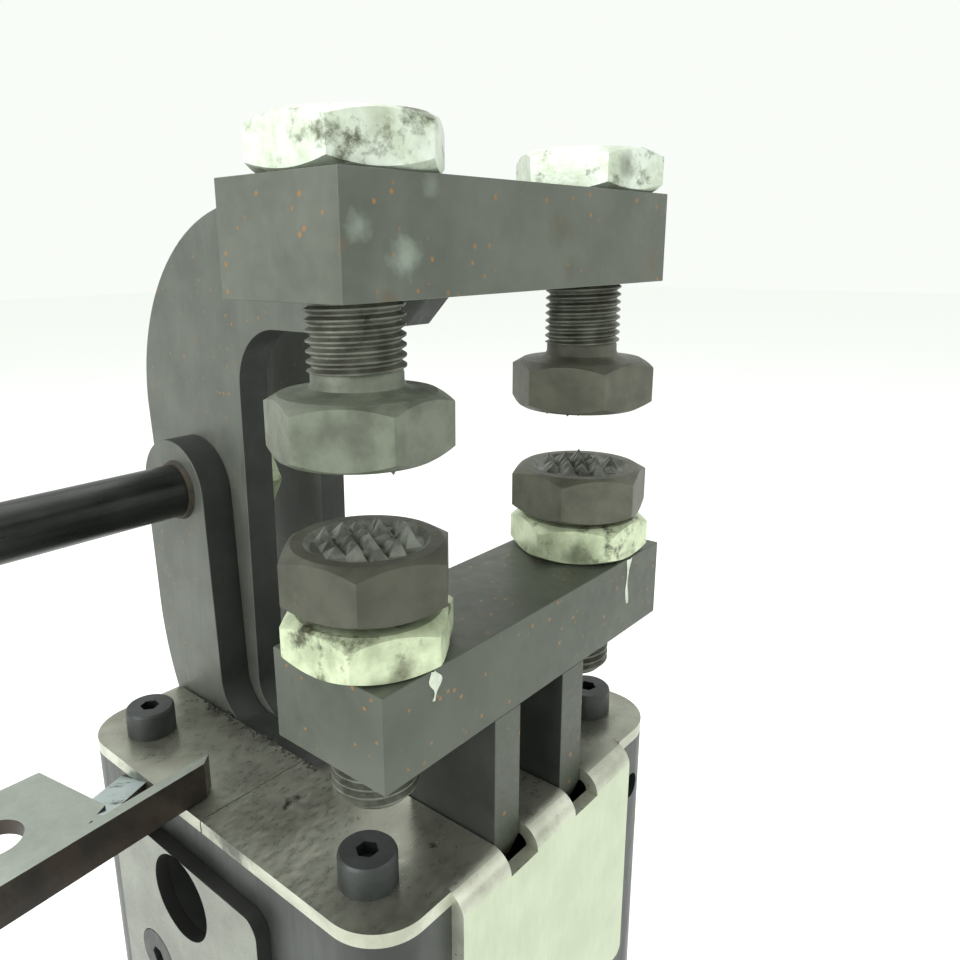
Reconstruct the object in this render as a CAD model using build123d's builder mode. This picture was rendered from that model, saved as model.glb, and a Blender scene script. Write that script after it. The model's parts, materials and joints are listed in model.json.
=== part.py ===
"""Pneumatic clamp: a square-bodied short-stroke cylinder under a head that swings a C-shaped
upper jaw onto a fixed lower jaw.

X runs along the jaw crossbars, Y runs to the rear and Z runs up. The origin is the centre of
the bottom face of the end cap. All sizes are in millimetres. The jaws are drawn closed.
"""

from build123d import *
import math
import os

# Body
BODY_X = 61.0
BODY_Y = 64.0
BODY_CORNER = 7.0
CAP_TOP = 14.0
TUBE_TOP = 54.0
POCKET_FLOOR = 68.0
COVER_TOP = 136.0
COVER_SHEET = 1.8
HEAD_TOP = COVER_TOP - COVER_SHEET
SLOT_WIDTH = 28.0
POCKET_DEPTH_Y = 48.0
FRONT_SILL = COVER_TOP - 33.0
REAR_SILL = COVER_TOP - 45.0

# Cylinder
BORE = 50.0
SPIGOT = 5.0
SPIGOT_DIAMETER = BORE - 0.1
SEAL_SECTION = 0.92
STROKE = 12.0
PISTON_LENGTH = 16.0
PISTON_TOP = TUBE_TOP - SPIGOT - 1.0
ROD_DIAMETER = 14.0
STUD_DIAMETER = 10.0
CROSSHEAD_BOTTOM = POCKET_FLOOR + STROKE + 1.0
CROSSHEAD_BASE = 12.0

# Upper jaw motion
PIVOT_Y = 3.3
PIVOT_Z = COVER_TOP - 12.4
PIVOT_DIAMETER = 10.0
DRIVE_PIN_Y = 8.0
DRIVE_PIN_Z = COVER_TOP - 26.4
DRIVE_PIN_DIAMETER = 6.0
ROLLER_DIAMETER = 10.0
CAM_SLOT_WIDTH = ROLLER_DIAMETER + 0.3
OPEN_ANGLE = 30.0
RUNNING_GAP = 0.05

# Jaw plates, along X
PLATE = 5.0
LEVER_X = -13.2
LEFT_ARM_X = LEVER_X + PLATE
RIGHT_ARM_X = 6.2
LEG_INNER_X = 4.6

# Crossbars
BAR_LENGTH = 57.0
BAR_DEPTH = 17.0
BAR_HEIGHT = 11.0
BAR_FRONT = -31.0
BAR_BACK = BAR_FRONT + BAR_DEPTH
BAR_Y = BAR_FRONT + BAR_DEPTH / 2
UPPER_BAR_X = -2.1
UPPER_BAR_BOTTOM = COVER_TOP + 65.3
UPPER_BAR_TOP = UPPER_BAR_BOTTOM + BAR_HEIGHT
LOWER_BAR_X = 0.9
LOWER_BAR_BOTTOM = COVER_TOP + 16.7
LOWER_BAR_TOP = LOWER_BAR_BOTTOM + BAR_HEIGHT

# Gripper bolts, M10 with 17 mm hexagons
BOLT_PITCH = 41.8
BOLT_DIAMETER = 10.0
HEX_FLATS = 17.0
HEX_RADIUS = HEX_FLATS / math.sqrt(3)
HEAD_HEIGHT = 6.5
JAM_NUT = 5.2
UPPER_BOLT_SHIFT = -0.5
UPPER_HEAD_BOTTOMS = (COVER_TOP + 49.6, COVER_TOP + 48.6)
UPPER_BOLT_LENGTH = 25.0
LOWER_HEAD_BOTTOMS = (COVER_TOP + 33.8, COVER_TOP + 33.4)
LOWER_BOLT_LENGTHS = (23.6, 24.5)

# Where each hexagon was left when it was tightened, as the angle of one corner, near then far
UPPER_HEAD_TURNS = (6.6, 49.4)
UPPER_NUT_TURNS = (36.0, 46.6)
LOWER_HEAD_TURNS = (40.0, 18.5)
LOWER_NUT_TURNS = (33.0, 59.5)

# Arm outline, in Y and Z over the cover
ARM_OUTER_RADIUS = 30.3
ARM_OUTER_Y = 12.5
ARM_OUTER_Z = COVER_TOP + 46.0
ARM_BACK_Y = ARM_OUTER_Y + ARM_OUTER_RADIUS
ARM_INNER_TOP = COVER_TOP + 59.4
ARM_INNER_Y = 16.6
ARM_INNER_RADIUS = 8.6
NOSE_Y = -2.8
BOSS_RADIUS = 11.5
SHOULDER_Z = PIVOT_Z + BOSS_RADIUS
TAIL_RADIUS = 8.5

# Hand lever outline
LEVER_TOP_Y = 28.9
LEVER_TOP_Z = COVER_TOP + 34.0
LEVER_RADIUS = 8.1
HANDLE_DIAMETER = 8.0
HANDLE_Y = 27.4
HANDLE_Z = COVER_TOP + 34.6
HANDLE_OUTER_X = -88.0
HANDLE_NUT = 4.0

# Covers and plates
SKIRT_HALF = 18.8
SKIRT_DROP = 36.0
REAR_SKIRT_DROP = 48.0
REAR_SLOT_DROP = 27.0
BEND_RADIUS = 3.0
NOTCH_DROP = 3.0
NOTCH_WIDTH = PLATE + 0.5
SCREW_PITCH = 47.0
COVER_SCREW = 4.0
COVER_SCREW_HEAD = 7.0
SIDE_PLATE = 2.0
SIDE_PLATE_WIDTH = 33.6
SIDE_PLATE_TOP = COVER_TOP - 6.3
SIDE_PLATE_BOTTOM = COVER_TOP - 54.0
SIDE_HOLE = 12.0
SIDE_SCREW_Y = (PIVOT_Y - 8.0, PIVOT_Y + 8.0)
SIDE_SCREW_Z = (COVER_TOP - 27.0, COVER_TOP - 48.0)
SIDE_SCREW = 4.0
SIDE_SCREW_HEAD = 8.0

# Side bracket
BRACKET_TOP = 5.2
BRACKET_SHEET = 2.0

# Lower jaw legs
LEG_BACK = -17.0
LEG_STEP = 1.8
LEG_DOWEL = 6.0
LEG_DOWEL_Y = -23.3
LEG_DOWEL_Z = (COVER_TOP - 18.0, COVER_TOP - 28.0)

# Fasteners and ports
TIE_X = 23.8
TIE_Y = 25.4
TIE_DIAMETER = 5.0
TIE_HEAD = 8.5
PORT_DIAMETER = 8.6
PORT_DEPTH = 12.0
PORT_PASSAGE = 4.0
MOUNT_THREAD = 6.0
MOUNT_X = 16.0
MOUNT_Y = 18.0
FIT_GAP = 0.1

os.makedirs("parts", exist_ok=True)


def save(piece, name):
    """Label a finished piece and write its STEP file."""
    piece.label = name
    export_step(piece, f"parts/{name}.step")


def arm_frame_point(travel):
    """Where the drive pin stands in the arm's own outline after the piston has moved by travel."""
    angle = math.radians(OPEN_ANGLE) * travel / STROKE
    y = DRIVE_PIN_Y - PIVOT_Y
    z = DRIVE_PIN_Z - travel - PIVOT_Z
    return (
        PIVOT_Y + y * math.cos(angle) - z * math.sin(angle),
        PIVOT_Z + z * math.cos(angle) + y * math.sin(angle),
    )


def cam_slot():
    """Outline of the slot that the roller follows in an arm."""
    path = ThreePointArc(
        arm_frame_point(0), arm_frame_point(STROKE / 2), arm_frame_point(STROKE)
    )
    centre = path.arc_center
    half = CAM_SLOT_WIDTH / 2
    inner = [(path @ t) + (centre - path @ t).normalized() * half for t in (0, 0.5, 1)]
    outer = [(path @ t) - (centre - path @ t).normalized() * half for t in (0, 0.5, 1)]
    with BuildSketch() as slot:
        with BuildLine():
            ThreePointArc(*inner)
            ThreePointArc(*outer)
            ThreePointArc(inner[0], (path @ 0) - (path % 0) * half, outer[0])
            ThreePointArc(inner[2], (path @ 1) + (path % 1) * half, outer[2])
        make_face()
    return slot.sketch


# ---------------------------------------------------------------- cylinder

with BuildPart() as end_cap:
    with BuildSketch():
        RectangleRounded(BODY_X, BODY_Y, BODY_CORNER)
    extrude(amount=CAP_TOP)
    with BuildSketch(Plane.XY.offset(CAP_TOP)):
        Circle(SPIGOT_DIAMETER / 2)
    extrude(amount=SPIGOT)
    with BuildSketch(Plane.XY.offset(CAP_TOP + SPIGOT / 2 - 1.3)):
        Circle(SPIGOT_DIAMETER / 2)
        Circle(BORE / 2 - 1.9, mode=Mode.SUBTRACT)
    extrude(amount=2.6, mode=Mode.SUBTRACT)
    with Locations((0, 0, CAP_TOP + SPIGOT)):
        Hole(7.0, depth=6.0)
    with BuildSketch():
        with GridLocations(2 * TIE_X, 2 * TIE_Y, 2, 2):
            Circle(TIE_DIAMETER / 2 + FIT_GAP)
    extrude(amount=CAP_TOP, mode=Mode.SUBTRACT)
    with BuildSketch():
        with GridLocations(2 * TIE_X, 2 * TIE_Y, 2, 2):
            Circle(TIE_HEAD / 2 + 0.3)
    extrude(amount=TIE_DIAMETER + 0.5, mode=Mode.SUBTRACT)
    with BuildSketch():
        with GridLocations(2 * MOUNT_X, 2 * MOUNT_Y, 2, 2):
            Circle(MOUNT_THREAD / 2)
    extrude(amount=10.0, mode=Mode.SUBTRACT)
    with BuildSketch(Plane.XZ.offset(-BODY_Y / 2)):
        with Locations((0, CAP_TOP / 2)):
            Circle(PORT_DIAMETER / 2)
    extrude(amount=PORT_DEPTH, mode=Mode.SUBTRACT)
    with BuildSketch(Plane.XZ.offset(-BODY_Y / 2 + PORT_DEPTH)):
        with Locations((0, CAP_TOP / 2)):
            Circle(PORT_PASSAGE / 2)
    extrude(amount=8.0, mode=Mode.SUBTRACT)
    with BuildSketch(Plane.XY.offset(CAP_TOP / 2)):
        with Locations((0, BODY_Y / 2 - PORT_DEPTH - 4.0)):
            Circle(PORT_PASSAGE / 2)
    extrude(amount=CAP_TOP, mode=Mode.SUBTRACT)
    chamfer(end_cap.faces().sort_by(Axis.Z)[0].outer_wire().edges(), 0.8)
save(end_cap.part, "end_cap")

with BuildPart() as cylinder_tube:
    with BuildSketch(Plane.XY.offset(CAP_TOP)):
        RectangleRounded(BODY_X, BODY_Y, BODY_CORNER)
        Circle(BORE / 2, mode=Mode.SUBTRACT)
        with GridLocations(2 * TIE_X, 2 * TIE_Y, 2, 2):
            Circle(TIE_DIAMETER / 2 + FIT_GAP, mode=Mode.SUBTRACT)
    extrude(amount=TUBE_TOP - CAP_TOP)
save(cylinder_tube.part, "cylinder_tube")

with BuildPart() as tube_orings:
    for height in (CAP_TOP + SPIGOT / 2, TUBE_TOP - SPIGOT / 2):
        with BuildSketch(Plane.XZ):
            with Locations((BORE / 2 - SEAL_SECTION - RUNNING_GAP, height)):
                Circle(SEAL_SECTION)
        revolve(axis=Axis.Z)
save(tube_orings.part, "tube_orings")

with BuildPart() as tie_screws:
    with BuildSketch(Plane.XY.offset(0.5)):
        with GridLocations(2 * TIE_X, 2 * TIE_Y, 2, 2):
            Circle(TIE_HEAD / 2)
            RegularPolygon(2.3, 6, mode=Mode.SUBTRACT)
    extrude(amount=2.6)
    with BuildSketch(Plane.XY.offset(3.1)):
        with GridLocations(2 * TIE_X, 2 * TIE_Y, 2, 2):
            Circle(TIE_HEAD / 2)
    extrude(amount=TIE_DIAMETER + 0.5 - 3.1)
    with BuildSketch(Plane.XY.offset(TIE_DIAMETER + 0.5)):
        with GridLocations(2 * TIE_X, 2 * TIE_Y, 2, 2):
            Circle(TIE_DIAMETER / 2)
    extrude(amount=58.0)
save(tie_screws.part, "tie_screws")

with BuildPart() as piston:
    with BuildSketch(Plane.XY.offset(PISTON_TOP - PISTON_LENGTH)):
        Circle(BORE / 2 - 0.1)
        Circle(STUD_DIAMETER / 2 + RUNNING_GAP, mode=Mode.SUBTRACT)
    extrude(amount=PISTON_LENGTH)
    for groove in (2.5, PISTON_LENGTH - 5.5):
        with BuildSketch(Plane.XY.offset(PISTON_TOP - PISTON_LENGTH + groove)):
            Circle(BORE / 2)
            Circle(BORE / 2 - 3.0, mode=Mode.SUBTRACT)
        extrude(amount=3.0, mode=Mode.SUBTRACT)
    with Locations(Location((0, 0, PISTON_TOP - PISTON_LENGTH), (180, 0, 0))):
        Hole(10.4, depth=6.0)
save(piston.part, "piston")

with BuildPart() as piston_seals:
    for groove in (2.6, PISTON_LENGTH - 5.4):
        with BuildSketch(Plane.XY.offset(PISTON_TOP - PISTON_LENGTH + groove)):
            Circle(BORE / 2 - RUNNING_GAP)
            Circle(BORE / 2 - 2.95, mode=Mode.SUBTRACT)
        extrude(amount=2.8)
save(piston_seals.part, "piston_seals")

with BuildPart() as piston_nut:
    with BuildSketch(Plane.XY.offset(PISTON_TOP - PISTON_LENGTH + 1.0)):
        RegularPolygon(HEX_RADIUS, 6)
        Circle(STUD_DIAMETER / 2 + RUNNING_GAP, mode=Mode.SUBTRACT)
    extrude(amount=5.0)
save(piston_nut.part, "piston_nut")

with BuildPart() as piston_rod:
    with BuildSketch(Plane.XY.offset(PISTON_TOP)):
        Circle(ROD_DIAMETER / 2)
    extrude(amount=CROSSHEAD_BOTTOM - PISTON_TOP)
    with BuildSketch(Plane.XY.offset(PISTON_TOP - PISTON_LENGTH + 1.0)):
        Circle(STUD_DIAMETER / 2)
    extrude(amount=PISTON_LENGTH - 1.0)
    with BuildSketch(Plane.XY.offset(CROSSHEAD_BOTTOM)):
        Circle(STUD_DIAMETER / 2)
    extrude(amount=10.0)
    chamfer(piston_rod.edges().sort_by(Axis.Z)[-1], 1.0)
save(piston_rod.part, "piston_rod")

# ---------------------------------------------------------------- head housing

with BuildPart() as housing:
    with BuildSketch(Plane.XY.offset(TUBE_TOP)):
        RectangleRounded(BODY_X, BODY_Y, BODY_CORNER)
    extrude(amount=HEAD_TOP - TUBE_TOP)
    with BuildSketch(Plane.XY.offset(TUBE_TOP - SPIGOT)):
        Circle(SPIGOT_DIAMETER / 2)
    extrude(amount=SPIGOT)
    with BuildSketch(Plane.XY.offset(TUBE_TOP - SPIGOT / 2 - 1.3)):
        Circle(SPIGOT_DIAMETER / 2)
        Circle(BORE / 2 - 1.9, mode=Mode.SUBTRACT)
    extrude(amount=2.6, mode=Mode.SUBTRACT)
    with BuildSketch(Plane.XY.offset(POCKET_FLOOR)):
        Rectangle(SLOT_WIDTH, POCKET_DEPTH_Y)
    extrude(amount=HEAD_TOP - POCKET_FLOOR, mode=Mode.SUBTRACT)
    with BuildSketch(Plane.XY.offset(FRONT_SILL)):
        with Locations((0, -BODY_Y / 4)):
            Rectangle(SLOT_WIDTH, BODY_Y / 2)
    extrude(amount=HEAD_TOP - FRONT_SILL, mode=Mode.SUBTRACT)
    with BuildSketch(Plane.XY.offset(REAR_SILL)):
        with Locations((0, BODY_Y / 4)):
            Rectangle(SLOT_WIDTH, BODY_Y / 2)
    extrude(amount=HEAD_TOP - REAR_SILL, mode=Mode.SUBTRACT)
    # Rod bore, with pockets for the seal and bush below and the wiper above
    with BuildSketch(Plane.XY.offset(TUBE_TOP - SPIGOT)):
        Circle(ROD_DIAMETER / 2 + 0.2)
    extrude(amount=POCKET_FLOOR - TUBE_TOP + SPIGOT, mode=Mode.SUBTRACT)
    with BuildSketch(Plane.XY.offset(TUBE_TOP - SPIGOT)):
        Circle(9.0)
    extrude(amount=13.0, mode=Mode.SUBTRACT)
    with BuildSketch(Plane.XY.offset(POCKET_FLOOR - 4.0)):
        Circle(10.0)
    extrude(amount=4.0, mode=Mode.SUBTRACT)
    # Threads for the tie screws and the cover screws
    with BuildSketch(Plane.XY.offset(TUBE_TOP)):
        with GridLocations(2 * TIE_X, 2 * TIE_Y, 2, 2):
            Circle(TIE_DIAMETER / 2 + RUNNING_GAP)
    extrude(amount=11.0, mode=Mode.SUBTRACT)
    with BuildSketch(Plane.XY.offset(HEAD_TOP)):
        with GridLocations(SCREW_PITCH, SCREW_PITCH, 2, 2):
            Circle(COVER_SCREW / 2 + RUNNING_GAP)
    extrude(amount=-12.0, mode=Mode.SUBTRACT)
    # Pivot bores and dowel bores through both side walls
    with BuildSketch(Plane.YZ.offset(-BODY_X / 2)):
        with Locations((PIVOT_Y, PIVOT_Z)):
            Circle(SIDE_HOLE / 2)
        with Locations(*[(LEG_DOWEL_Y, z) for z in LEG_DOWEL_Z]):
            Circle(LEG_DOWEL / 2)
    extrude(amount=BODY_X, mode=Mode.SUBTRACT)
    with BuildSketch(Plane.YZ.offset(-24.0)):
        with Locations((PIVOT_Y, PIVOT_Z)):
            Circle(SIDE_HOLE / 2 + 1.0)
    extrude(amount=48.0, mode=Mode.SUBTRACT)
    # Countersunk side plate screws, their points short of the pocket
    for side in (-1, 1):
        with BuildSketch(Plane.YZ.offset(side * BODY_X / 2)):
            with Locations(*[(y, z) for y in SIDE_SCREW_Y for z in SIDE_SCREW_Z]):
                Circle(SIDE_SCREW / 2 + RUNNING_GAP)
        extrude(amount=-side * 10.0, mode=Mode.SUBTRACT)
    # Small tapped holes beside the front skirt, and the upper air port at the rear
    with BuildSketch(Plane.XZ.offset(BODY_Y / 2)):
        with Locations((-22.8, COVER_TOP - 9.5), (22.8, COVER_TOP - 9.5)):
            Circle(2.0)
    extrude(amount=-4.5, mode=Mode.SUBTRACT)
    with BuildSketch(Plane.XZ.offset(-BODY_Y / 2)):
        with Locations((0, TUBE_TOP + 7.0)):
            Circle(PORT_DIAMETER / 2)
    extrude(amount=PORT_DEPTH, mode=Mode.SUBTRACT)
    with BuildSketch(Plane.XY.offset(TUBE_TOP - SPIGOT)):
        with Locations((0, BODY_Y / 2 - PORT_DEPTH + 1.0)):
            Circle(PORT_PASSAGE / 2)
    extrude(amount=SPIGOT + 7.0, mode=Mode.SUBTRACT)
save(housing.part, "housing")

with BuildPart() as rod_bush:
    with BuildSketch(Plane.XY.offset(TUBE_TOP + 1.0)):
        Circle(9.0)
        Circle(ROD_DIAMETER / 2 + RUNNING_GAP, mode=Mode.SUBTRACT)
    extrude(amount=7.0)
save(rod_bush.part, "rod_bush")

with BuildPart() as rod_seal:
    with BuildSketch(Plane.XY.offset(TUBE_TOP - SPIGOT + 0.6)):
        Circle(9.0)
        Circle(ROD_DIAMETER / 2 + RUNNING_GAP, mode=Mode.SUBTRACT)
    extrude(amount=5.0)
save(rod_seal.part, "rod_seal")

with BuildPart() as rod_wiper:
    with BuildSketch(Plane.XY.offset(POCKET_FLOOR - 4.0)):
        Circle(10.0)
        Circle(ROD_DIAMETER / 2 + RUNNING_GAP, mode=Mode.SUBTRACT)
    extrude(amount=4.2)
save(rod_wiper.part, "rod_wiper")

with BuildPart() as pivot_bushes:
    for start in (-24.0, SLOT_WIDTH / 2):
        with BuildSketch(Plane.YZ.offset(start)):
            with Locations((PIVOT_Y, PIVOT_Z)):
                Circle(SIDE_HOLE / 2 + 1.0)
                Circle(PIVOT_DIAMETER / 2, mode=Mode.SUBTRACT)
        extrude(amount=24.0 - SLOT_WIDTH / 2)
save(pivot_bushes.part, "pivot_bushes")

with BuildPart() as pivot_pin:
    with BuildSketch(Plane.YZ.offset(-24.0)):
        with Locations((PIVOT_Y, PIVOT_Z)):
            Circle(PIVOT_DIAMETER / 2)
    extrude(amount=48.0)
    chamfer(pivot_pin.edges().filter_by(GeomType.CIRCLE), 0.6)
save(pivot_pin.part, "pivot_pin")

with BuildPart() as pivot_washer:
    with BuildSketch(Plane.YZ.offset(RIGHT_ARM_X + PLATE + 0.2)):
        with Locations((PIVOT_Y, PIVOT_Z)):
            Circle(8.0)
            Circle(PIVOT_DIAMETER / 2 + RUNNING_GAP, mode=Mode.SUBTRACT)
    extrude(amount=SLOT_WIDTH / 2 - RIGHT_ARM_X - PLATE - 0.2)
save(pivot_washer.part, "pivot_washer")

# ---------------------------------------------------------------- covers and side plates

with BuildPart() as front_cover:
    with BuildSketch(Plane.XY.offset(HEAD_TOP)):
        RectangleRounded(BODY_X, BODY_Y, BODY_CORNER)
        with Locations((0, BODY_Y / 2)):
            Rectangle(BODY_X, BODY_Y + 0.5, mode=Mode.SUBTRACT)
        with Locations((0, -BODY_Y / 2)):
            Rectangle(2 * SKIRT_HALF, 6.0, mode=Mode.SUBTRACT)
    extrude(amount=COVER_SHEET)
    # Bent strip, drawn as a section of the sheet
    with BuildSketch(Plane.YZ.offset(-SKIRT_HALF)):
        with BuildLine():
            inner = BEND_RADIUS - COVER_SHEET
            face = -BODY_Y / 2
            l1 = Line((face + 3.0, COVER_TOP), (face + inner, COVER_TOP))
            l2 = RadiusArc(l1 @ 1, (face - COVER_SHEET, COVER_TOP - BEND_RADIUS), -BEND_RADIUS)
            l3 = Line(l2 @ 1, (face - COVER_SHEET, COVER_TOP - SKIRT_DROP))
            l4 = Line(l3 @ 1, (face, COVER_TOP - SKIRT_DROP))
            l5 = Line(l4 @ 1, (face, COVER_TOP - BEND_RADIUS))
            l6 = RadiusArc(l5 @ 1, (face + inner, HEAD_TOP), inner)
            l7 = Line(l6 @ 1, (face + 3.0, HEAD_TOP))
            Line(l7 @ 1, l1 @ 0)
        make_face()
    extrude(amount=2 * SKIRT_HALF)
    # Notches for the two legs of the lower jaw, through the bend
    with BuildSketch(Plane.XY.offset(COVER_TOP)):
        with Locations((-LEG_INNER_X - PLATE / 2, -26.0), (LEG_INNER_X + PLATE / 2, -26.0)):
            Rectangle(NOTCH_WIDTH, 19.0)
    extrude(amount=-NOTCH_DROP, mode=Mode.SUBTRACT)
    # Clearance for the pivot boss at the seam, and the screw holes
    with BuildSketch(Plane.XY.offset(COVER_TOP)):
        Rectangle(SLOT_WIDTH - 0.4, 6.0)
        with GridLocations(SCREW_PITCH, SCREW_PITCH, 2, 2):
            Circle(COVER_SCREW / 2 + FIT_GAP)
    extrude(amount=-COVER_SHEET, mode=Mode.SUBTRACT)
    skirt_corners = front_cover.edges().filter_by(Axis.Y).group_by(Axis.Z)[0]
    fillet(skirt_corners, 1.5)
save(front_cover.part, "front_cover")

with BuildPart() as rear_cover:
    with BuildSketch(Plane.XY.offset(HEAD_TOP)):
        RectangleRounded(BODY_X, BODY_Y, BODY_CORNER)
        with Locations((0, -BODY_Y / 2)):
            Rectangle(BODY_X, BODY_Y, mode=Mode.SUBTRACT)
        with Locations((0, BODY_Y / 2)):
            Rectangle(2 * SKIRT_HALF, 6.0, mode=Mode.SUBTRACT)
    extrude(amount=COVER_SHEET)
    with BuildSketch(Plane.YZ.offset(-SKIRT_HALF)):
        with BuildLine():
            inner = BEND_RADIUS - COVER_SHEET
            face = BODY_Y / 2
            l1 = Line((face - 3.0, COVER_TOP), (face - inner, COVER_TOP))
            l2 = RadiusArc(l1 @ 1, (face + COVER_SHEET, COVER_TOP - BEND_RADIUS), BEND_RADIUS)
            l3 = Line(l2 @ 1, (face + COVER_SHEET, COVER_TOP - REAR_SKIRT_DROP))
            l4 = Line(l3 @ 1, (face, COVER_TOP - REAR_SKIRT_DROP))
            l5 = Line(l4 @ 1, (face, COVER_TOP - BEND_RADIUS))
            l6 = RadiusArc(l5 @ 1, (face - inner, HEAD_TOP), -inner)
            l7 = Line(l6 @ 1, (face - 3.0, HEAD_TOP))
            Line(l7 @ 1, l1 @ 0)
        make_face()
    extrude(amount=2 * SKIRT_HALF)
    # Slot for the swinging arms, over the bend and down the skirt
    with BuildSketch(Plane.XZ.offset(-BODY_Y / 2 - BEND_RADIUS)):
        with Locations((0, COVER_TOP - REAR_SLOT_DROP / 2)):
            Rectangle(SLOT_WIDTH - 0.4, REAR_SLOT_DROP)
    extrude(amount=BODY_Y, mode=Mode.SUBTRACT)
    with BuildSketch(Plane.XY.offset(COVER_TOP)):
        with GridLocations(SCREW_PITCH, SCREW_PITCH, 2, 2):
            Circle(COVER_SCREW / 2 + FIT_GAP)
    extrude(amount=-COVER_SHEET, mode=Mode.SUBTRACT)
    skirt_corners = rear_cover.edges().filter_by(Axis.Y).group_by(Axis.Z)[0]
    fillet(skirt_corners, 1.5)
save(rear_cover.part, "rear_cover")

with BuildPart() as cover_screws:
    with BuildSketch(Plane.XY.offset(COVER_TOP)):
        with GridLocations(SCREW_PITCH, SCREW_PITCH, 2, 2):
            Circle(COVER_SCREW_HEAD / 2)
    extrude(amount=4.0)
    fillet(cover_screws.edges().group_by(Axis.Z)[-1], 0.4)
    with BuildSketch(Plane.XY.offset(COVER_TOP + 4.0)):
        with GridLocations(SCREW_PITCH, SCREW_PITCH, 2, 2):
            RegularPolygon(3.0 / math.sqrt(3), 6)
    extrude(amount=-2.2, mode=Mode.SUBTRACT)
    with BuildSketch(Plane.XY.offset(COVER_TOP)):
        with GridLocations(SCREW_PITCH, SCREW_PITCH, 2, 2):
            Circle(COVER_SCREW / 2)
    extrude(amount=-12.0)
save(cover_screws.part, "cover_screws")


def side_plate(side):
    """Plate that covers one side wall round the pivot, side being -1 for left and 1 for right."""
    height = SIDE_PLATE_TOP - SIDE_PLATE_BOTTOM
    with BuildPart() as plate:
        with BuildSketch(Plane.YZ.offset(side * BODY_X / 2)):
            with Locations((PIVOT_Y, SIDE_PLATE_BOTTOM + height / 2)):
                RectangleRounded(SIDE_PLATE_WIDTH, height, 2.5)
            with Locations((PIVOT_Y, PIVOT_Z)):
                Circle(SIDE_HOLE / 2, mode=Mode.SUBTRACT)
        extrude(amount=side * SIDE_PLATE)
        outer = Plane(origin=(side * (BODY_X / 2 + SIDE_PLATE), 0, 0), x_dir=(0, side, 0), z_dir=(side, 0, 0))
        with Locations(outer):
            with Locations(*[(side * y, z) for y in SIDE_SCREW_Y for z in SIDE_SCREW_Z]):
                CounterSinkHole(SIDE_SCREW / 2 + RUNNING_GAP, SIDE_SCREW_HEAD / 2)
    return plate.part


save(side_plate(-1), "left_side_plate")
save(side_plate(1), "right_side_plate")

with BuildPart() as side_plate_screws:
    for side in (-1, 1):
        for y in SIDE_SCREW_Y:
            for z in SIDE_SCREW_Z:
                with BuildSketch(Plane.XZ.offset(-y)):
                    with BuildLine():
                        outer_x = side * (BODY_X / 2 + SIDE_PLATE)
                        Polyline(
                            (outer_x, z),
                            (outer_x, z + SIDE_SCREW_HEAD / 2 - 0.1),
                            (outer_x - side * 2.0, z + SIDE_SCREW / 2),
                            (outer_x - side * 11.0, z + SIDE_SCREW / 2),
                            (outer_x - side * 11.0, z),
                            close=True,
                        )
                    make_face()
                revolve(axis=Axis((0, y, z), (1, 0, 0)))
    for side in (-1, 1):
        with BuildSketch(Plane.YZ.offset(side * (BODY_X / 2 + SIDE_PLATE))):
            with Locations(*[(y, z) for y in SIDE_SCREW_Y for z in SIDE_SCREW_Z]):
                RegularPolygon(2.5 / math.sqrt(3), 6)
        extrude(amount=-side * 1.6, mode=Mode.SUBTRACT)
save(side_plate_screws.part, "side_plate_screws")

with BuildPart() as side_bracket:
    # Sheet, level with the cover's top
    with BuildSketch(Plane.XY.offset(COVER_TOP + BRACKET_TOP - BRACKET_SHEET)):
        with BuildLine():
            Polyline(
                (-80.0, -1.2),
                (-45.8, 1.5),
                (-39.8, 5.0),
                (-42.2, 17.7),
                (-80.0, 17.7),
                close=True,
            )
        make_face()
        with Locations((-54.8, 9.2)):
            SlotOverall(14.0, 6.5, mode=Mode.SUBTRACT)
    extrude(amount=BRACKET_SHEET)
    # Upright flange along the front edge, its bevelled end lying over the cover
    with BuildSketch(Plane.XY.offset(COVER_TOP + 0.2)):
        with BuildLine():
            Polyline(
                (-80.0, -1.2),
                (-27.4, 3.0),
                (-25.8, 4.4),
                (-27.4, 4.5),
                (-80.0, 0.3),
                close=True,
            )
        make_face()
    extrude(amount=BRACKET_TOP - 0.2)
    # Sloping foot that carries the bracket on the side wall
    slope = Plane(origin=(-43.0, 3.5, COVER_TOP), x_dir=(12.5, 13.3, 0), z_dir=(13.3, -12.5, 0))
    with BuildSketch(slope):
        with BuildLine():
            Polyline(
                (0.5, BRACKET_TOP),
                (1.5, BRACKET_TOP),
                (24.0, -4.2),
                (24.0, -6.0),
                (16.0, -6.0),
                (0.5, BRACKET_TOP - 3.0),
                close=True,
            )
        make_face()
    extrude(amount=2.4, both=True)
    with BuildSketch(Plane.XY.offset(COVER_TOP - 10.0)):
        with Locations((0, 15.0)):
            Rectangle(BODY_X, 16.0)
    extrude(amount=10.0 + BRACKET_TOP, mode=Mode.SUBTRACT)
save(side_bracket.part, "side_bracket")

# ---------------------------------------------------------------- lower jaw


def bolt_places(shift):
    """Where the near and far gripper bolts of a jaw stand, in X and Y."""
    return ((shift - BOLT_PITCH / 2, BAR_Y), (shift + BOLT_PITCH / 2, BAR_Y))


def crossbar(centre_x, bottom, shift, name):
    """One jaw crossbar with its two bolt holes."""
    with BuildPart() as bar:
        with BuildSketch(Plane.XY.offset(bottom)):
            with Locations((centre_x, BAR_Y)):
                Rectangle(BAR_LENGTH, BAR_DEPTH)
            with Locations(*bolt_places(shift)):
                Circle(BOLT_DIAMETER / 2 + RUNNING_GAP, mode=Mode.SUBTRACT)
        extrude(amount=BAR_HEIGHT)
    save(bar.part, name)


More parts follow.
